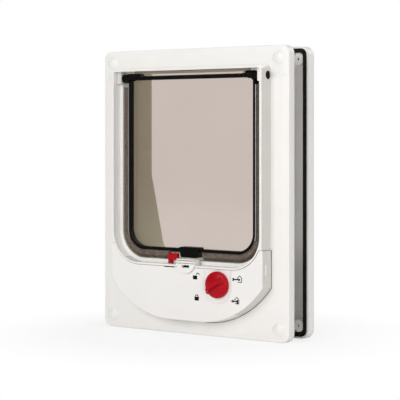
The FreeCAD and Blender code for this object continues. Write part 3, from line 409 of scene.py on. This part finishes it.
def add_fibre(bm, root, tip, r):
    """Tapered three-sided bristle in two spans."""
    along = tip - root
    side = Vector((0.0, 1.0, 0.0))
    across = along.cross(side).normalized()
    rings = []
    for place, width in ((0.0, 1.0), (0.55, 0.95), (1.0, 0.7)):
        centre = root + along * place
        ring = []
        for k in range(3):
            a = 2.0 * math.pi * k / 3
            ring.append(bm.verts.new(centre + (side * math.cos(a) + across * math.sin(a)) * r * width))
        rings.append(ring)
    for low, high in zip(rings, rings[1:]):
        for k in range(3):
            bm.faces.new((low[k], low[(k + 1) % 3], high[(k + 1) % 3], high[k]))
    bm.faces.new(rings[-1])
    bm.faces.new(list(reversed(rings[0])))


def bristle(bm, rng, room, point, y, start, reach):
    """One bristle from a place on the flap's edge, kept inside the brush's room."""
    low, high = room
    x, z, nx, nz = point
    jitter = rng.uniform(-0.5, 0.5) * PILE_STEP
    root = Vector((x + nx * start - nz * jitter, y, z + nz * start + nx * jitter))
    length = reach - start - rng.uniform(0.0, PILE_UNEVEN) * reach
    lean = rng.uniform(-PILE_LEAN, PILE_LEAN) * reach
    tip = root + Vector((nx * length - nz * lean, 0.0, nz * length + nx * lean))
    tip.x = min(max(tip.x, low[0] + FIBRE_R), high[0] - FIBRE_R)
    tip.z = max(tip.z, low[2] + FIBRE_R)
    add_fibre(bm, root, tip, FIBRE_R)


def brush_piece(name, node, side, seed):
    """Pile in its strip; along the bottom it also falls over the strip's face, and short over the lever."""
    low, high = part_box(node)
    rng = random.Random(seed)
    end_x = high[0] if side < 0 else low[0]
    step = PILE_STEP * 1
    depth = high[1] - low[1]
    bm = bmesh.new()
    for point in edge_path(side, end_x, high[2] - PILE_TOP_GAP, step):
        drop = max(0.0, -point[3])
        reach = PILE_REACH + PILE_DROP * drop
        for _ in range(PILE_LAYERS):
            y = low[1] + depth * rng.uniform(PILE_FROM, PILE_TO)
            bristle(bm, rng, (low, high), point, y, CARRIER_W * PILE_SUNK, reach)
        if drop > FACE_FROM:
            face_y = STRIP_FRONT - FIBRE_R * FACE_LIFT
            bristle(bm, rng, (low, high), point, face_y, PILE_START, reach * FACE_REACH)
    if side < 0:
        stub_room = (low, (LATCH_LEFT, high[1], high[2]))
        stub_x = end_x
        while stub_x < LATCH_LEFT - step:
            y = low[1] + depth * rng.uniform(PILE_FROM, PILE_TO)
            bristle(bm, rng, stub_room, (stub_x, FLAP_LOW, 0.0, -1.0), y, PILE_START, LEVER_GAP)
            stub_x += step / PILE_LAYERS
    for face in bm.faces:
        face.smooth = True
    piece = mesh_piece(name, bm, PILE, "flap")
    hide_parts(node)
    return piece


def lever_coil():
    """The lever's spring, copied as it stands; nothing here shortens it as the lever goes down."""
    bm = bmesh.new()
    bm.from_mesh(nodes["lever_spring"].data)
    piece = mesh_piece("lever_coil", bm, STEEL, "frame")
    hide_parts("lever_spring")
    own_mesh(piece)


# Draught lip: clear strip whose ends rise over the thick ends of the hinge bar
LIP_CEILING = 107.45 * MM
LIP_REACH = 10.0 * MM
LIP_TAPER_START = 1.4 * MM
LIP_TAPER_END = 4.7 * MM
LIP_OVER_BAR = 3.1 * MM


def lip_sheet():
    """The lip as one sheet: its outline runs over the right end, then back over the left one."""
    low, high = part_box("draught_lip")
    step = low[2] + LIP_OVER_BAR
    outline = []
    for side, x in ((1.0, high[0]), (-1.0, low[0])):
        far = x + side * LIP_REACH
        half = [(x, high[2]), (x, LIP_CEILING), (far, LIP_CEILING), (far, step),
                (x + side * LIP_TAPER_END, step), (x + side * LIP_TAPER_START, low[2])]
        outline += half if side > 0 else list(reversed(half))
    bm = bmesh.new()
    rings = [[bm.verts.new((x, y, z)) for x, z in outline] for y in (low[1], high[1])]
    bm.faces.new(rings[0])
    bm.faces.new(list(reversed(rings[1])))
    for i in range(len(outline)):
        bm.faces.new((rings[0][i - 1], rings[0][i], rings[1][i], rings[1][i - 1]))
    bmesh.ops.recalc_face_normals(bm, faces=bm.faces)
    piece = mesh_piece("draught_lip_sheet", bm, GLASS, "frame")
    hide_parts("draught_lip")


# Marks round the knob: generic pictograms laid on the cover
COVER_FACE = -22.0 * MM
MARK_T = 0.05 * MM
MARK_DEEP = 1.6


def mark(name, shapes, centre):
    """Flat shapes, as lists of points in millimetres, laid on the cover's face."""
    bm = bmesh.new()
    y = COVER_FACE - MARK_T
    for shape in shapes:
        ring = [bm.verts.new((centre[0] + x * MM, y, centre[1] + z * MM)) for x, z in shape]
        solid = bmesh.ops.extrude_face_region(bm, geom=[bm.faces.new(ring)])
        moved = [v for v in solid["geom"] if isinstance(v, bmesh.types.BMVert)]
        bmesh.ops.translate(bm, verts=moved, vec=(0.0, MARK_T * MARK_DEEP, 0.0))
    bmesh.ops.recalc_face_normals(bm, faces=bm.faces)
    return mesh_piece(name, bm, INK, "frame")


def bar(x0, z0, x1, z1, width):
    """Stroke between two points."""
    dx, dz = x1 - x0, z1 - z0
    length = math.hypot(dx, dz)
    ox, oz = -dz / length * width / 2, dx / length * width / 2
    return [(x0 + ox, z0 + oz), (x1 + ox, z1 + oz), (x1 - ox, z1 - oz), (x0 - ox, z0 - oz)]


def arch(cx, cz, r, width, start, end, count=8):
    """Curved stroke as short overlapping bars."""
    angles = [math.radians(start + (end - start) * i / count) for i in range(count + 1)]
    strokes = []
    for a, b in zip(angles, angles[1:]):
        corners = ((r - width / 2, a), (r + width / 2, a), (r + width / 2, b), (r - width / 2, b))
        strokes.append([(cx + far * math.cos(turn), cz + far * math.sin(turn)) for far, turn in corners])
    return strokes


def padlock(is_open):
    body = [[(-2.3, -2.6), (2.3, -2.6), (2.3, 0.8), (-2.3, 0.8)]]
    if is_open:
        return body + arch(3.0, 1.5, 1.5, 0.75, 10, 190)
    return body + arch(0.0, 0.9, 1.5, 0.75, 0, 180)


def house(arrow_in):
    w = 0.62
    walls = [bar(-0.6, -2.8, 3.6, -2.8, w), bar(3.4, -2.8, 3.4, 0.6, w), bar(3.9, 0.3, 1.4, 2.9, w),
             bar(1.4, 2.9, -1.1, 0.3, w)]
    if arrow_in:
        return walls + [bar(-5.0, -0.6, 0.4, -0.6, 1.1), [(0.3, -2.0), (2.4, -0.6), (0.3, 0.8)],
                        bar(-5.2, -2.1, -5.2, 0.6, 1.4)]
    return walls + [bar(-2.2, -0.8, 1.2, -0.8, 1.1), [(-2.1, -2.3), (-4.9, -0.8), (-2.1, 0.7)],
                    bar(1.9, -2.8, 1.9, 0.6, 1.6)]


def marks():
    mark("mark_unlocked", padlock(True), (11.9 * MM, -73.8 * MM))
    mark("mark_locked", padlock(False), (13.7 * MM, -92.2 * MM))
    mark("mark_in", house(True), (57.2 * MM, -73.4 * MM))
    mark("mark_out", house(False), (54.4 * MM, -92.0 * MM))


def backdrop_ray(tree):
    """1 for rays that see the backdrop itself, straight or through the window."""
    path = tree.nodes.new("ShaderNodeLightPath")
    return join(tree, "MAXIMUM", path.outputs["Is Camera Ray"], path.outputs["Is Transmission Ray"])


def make_world():
    world = bpy.data.worlds.new("studio")
    bpy.context.scene.world = world
    world.use_nodes = True
    tree = world.node_tree
    tree.nodes.clear()
    output = tree.nodes.new("ShaderNodeOutputWorld")
    seen = tree.nodes.new("ShaderNodeBackground")
    seen.inputs["Color"].default_value = (1.0, 1.0, 1.0, 1.0)
    seen.inputs["Strength"].default_value = 1.0
    fill = tree.nodes.new("ShaderNodeBackground")
    fill.inputs["Color"].default_value = (1.0, 0.985, 0.965, 1.0)
    fill.inputs["Strength"].default_value = 0.2
    mix = tree.nodes.new("ShaderNodeMixShader")
    tree.links.new(backdrop_ray(tree), mix.inputs["Fac"])
    tree.links.new(fill.outputs[0], mix.inputs[1])
    tree.links.new(seen.outputs[0], mix.inputs[2])
    tree.links.new(mix.outputs[0], output.inputs["Surface"])


def floor_material():
    """Pale floor that turns into the white backdrop away from the object."""
    material, tree, shader = new_material("studio_floor")
    shader.inputs["Roughness"].default_value = 0.9
    shader.inputs["Specular IOR Level"].default_value = 0.1
    grain = noise(tree, 40.0)
    tree.links.new(ramp(tree, grain, [(0.3, (0.93, 0.93, 0.93)), (0.7, (0.95, 0.95, 0.95))]),
                   shader.inputs["Base Color"])
    white = tree.nodes.new("ShaderNodeEmission")
    white.inputs["Color"].default_value = (1.0, 1.0, 1.0, 1.0)
    white.inputs["Strength"].default_value = 1.0
    length = tree.nodes.new("ShaderNodeVectorMath")
    length.operation = "LENGTH"
    tree.links.new(object_coords(tree), length.inputs[0])
    far = span(tree, length.outputs["Value"], 0.75, 1.0, WHITE_FROM, WHITE_TO)
    mix = tree.nodes.new("ShaderNodeMixShader")
    tree.links.new(join(tree, "MULTIPLY", far, backdrop_ray(tree)), mix.inputs["Fac"])
    tree.links.new(shader.outputs[0], mix.inputs[1])
    tree.links.new(white.outputs[0], mix.inputs[2])
    tree.links.new(mix.outputs[0], tree.nodes["Material Output"].inputs["Surface"])
    return material


def make_floor():
    bm = bmesh.new()
    bmesh.ops.create_circle(bm, cap_ends=True, segments=96, radius=FLOOR_R)
    mesh = bpy.data.meshes.new("floor")
    bm.to_mesh(mesh)
    bm.free()
    floor = bpy.data.objects.new("floor", mesh)
    floor.location = (0.0, 0.0, FLOOR_Z)
    bpy.context.scene.collection.objects.link(floor)
    mesh.materials.append(floor_material())


def area_light(name, place, target, size, power, colour=(1.0, 1.0, 1.0)):
    data = bpy.data.lights.new(name, "AREA")
    data.shape = "RECTANGLE"
    data.size, data.size_y = size
    data.energy = power
    data.color = colour
    lamp = bpy.data.objects.new(name, data)
    lamp.location = place
    lamp.rotation_euler = (Vector(target) - Vector(place)).to_track_quat("-Z", "Y").to_euler()
    bpy.context.scene.collection.objects.link(lamp)


def make_lights():
    area_light("key", (-0.25, -1.9, 0.8), (0.0, 0.0, -0.02), (1.2, 1.2), 18.0)
    area_light("front_fill", (0.9, -1.9, 0.35), (0.0, 0.0, 0.0), (1.2, 1.2), 7.0, (1.0, 0.99, 0.97))
    area_light("side", (1.5, -0.35, 0.45), (0.0, 0.0, 0.0), (0.9, 0.9), 6.0)
    area_light("top", (0.1, 0.2, 1.5), (0.0, 0.0, 0.0), (1.2, 1.2), 9.0)
    area_light("back", (0.7, 1.8, 0.9), (0.0, 0.0, 0.0), (1.0, 1.0), 6.0)
    area_light("left", (-1.6, 0.5, 0.7), (0.0, 0.0, 0.0), (0.9, 0.9), 1.5)


def make_camera():
    data = bpy.data.cameras.new("camera")
    data.sensor_width = SENSOR_MM
    data.lens = FOCAL_PX * SENSOR_MM / IMAGE_PX
    data.shift_y = (HORIZON_PX - IMAGE_PX / 2) / IMAGE_PX
    data.clip_start = 0.01
    camera = bpy.data.objects.new("camera", data)
    camera.location = CAMERA_AT
    camera.rotation_euler = (math.pi / 2, 0.0, YAW)
    bpy.context.scene.collection.objects.link(camera)
    bpy.context.scene.camera = camera


finish_nodes()
brush_piece("brush_pile_left", "brush_left", -1.0, 11)
brush_piece("brush_pile_right", "brush_right", 1.0, 12)
lever_coil()
lip_sheet()
marks()
make_world()
make_floor()
make_lights()
make_camera()
bpy.context.scene.view_settings.view_transform = "Standard"
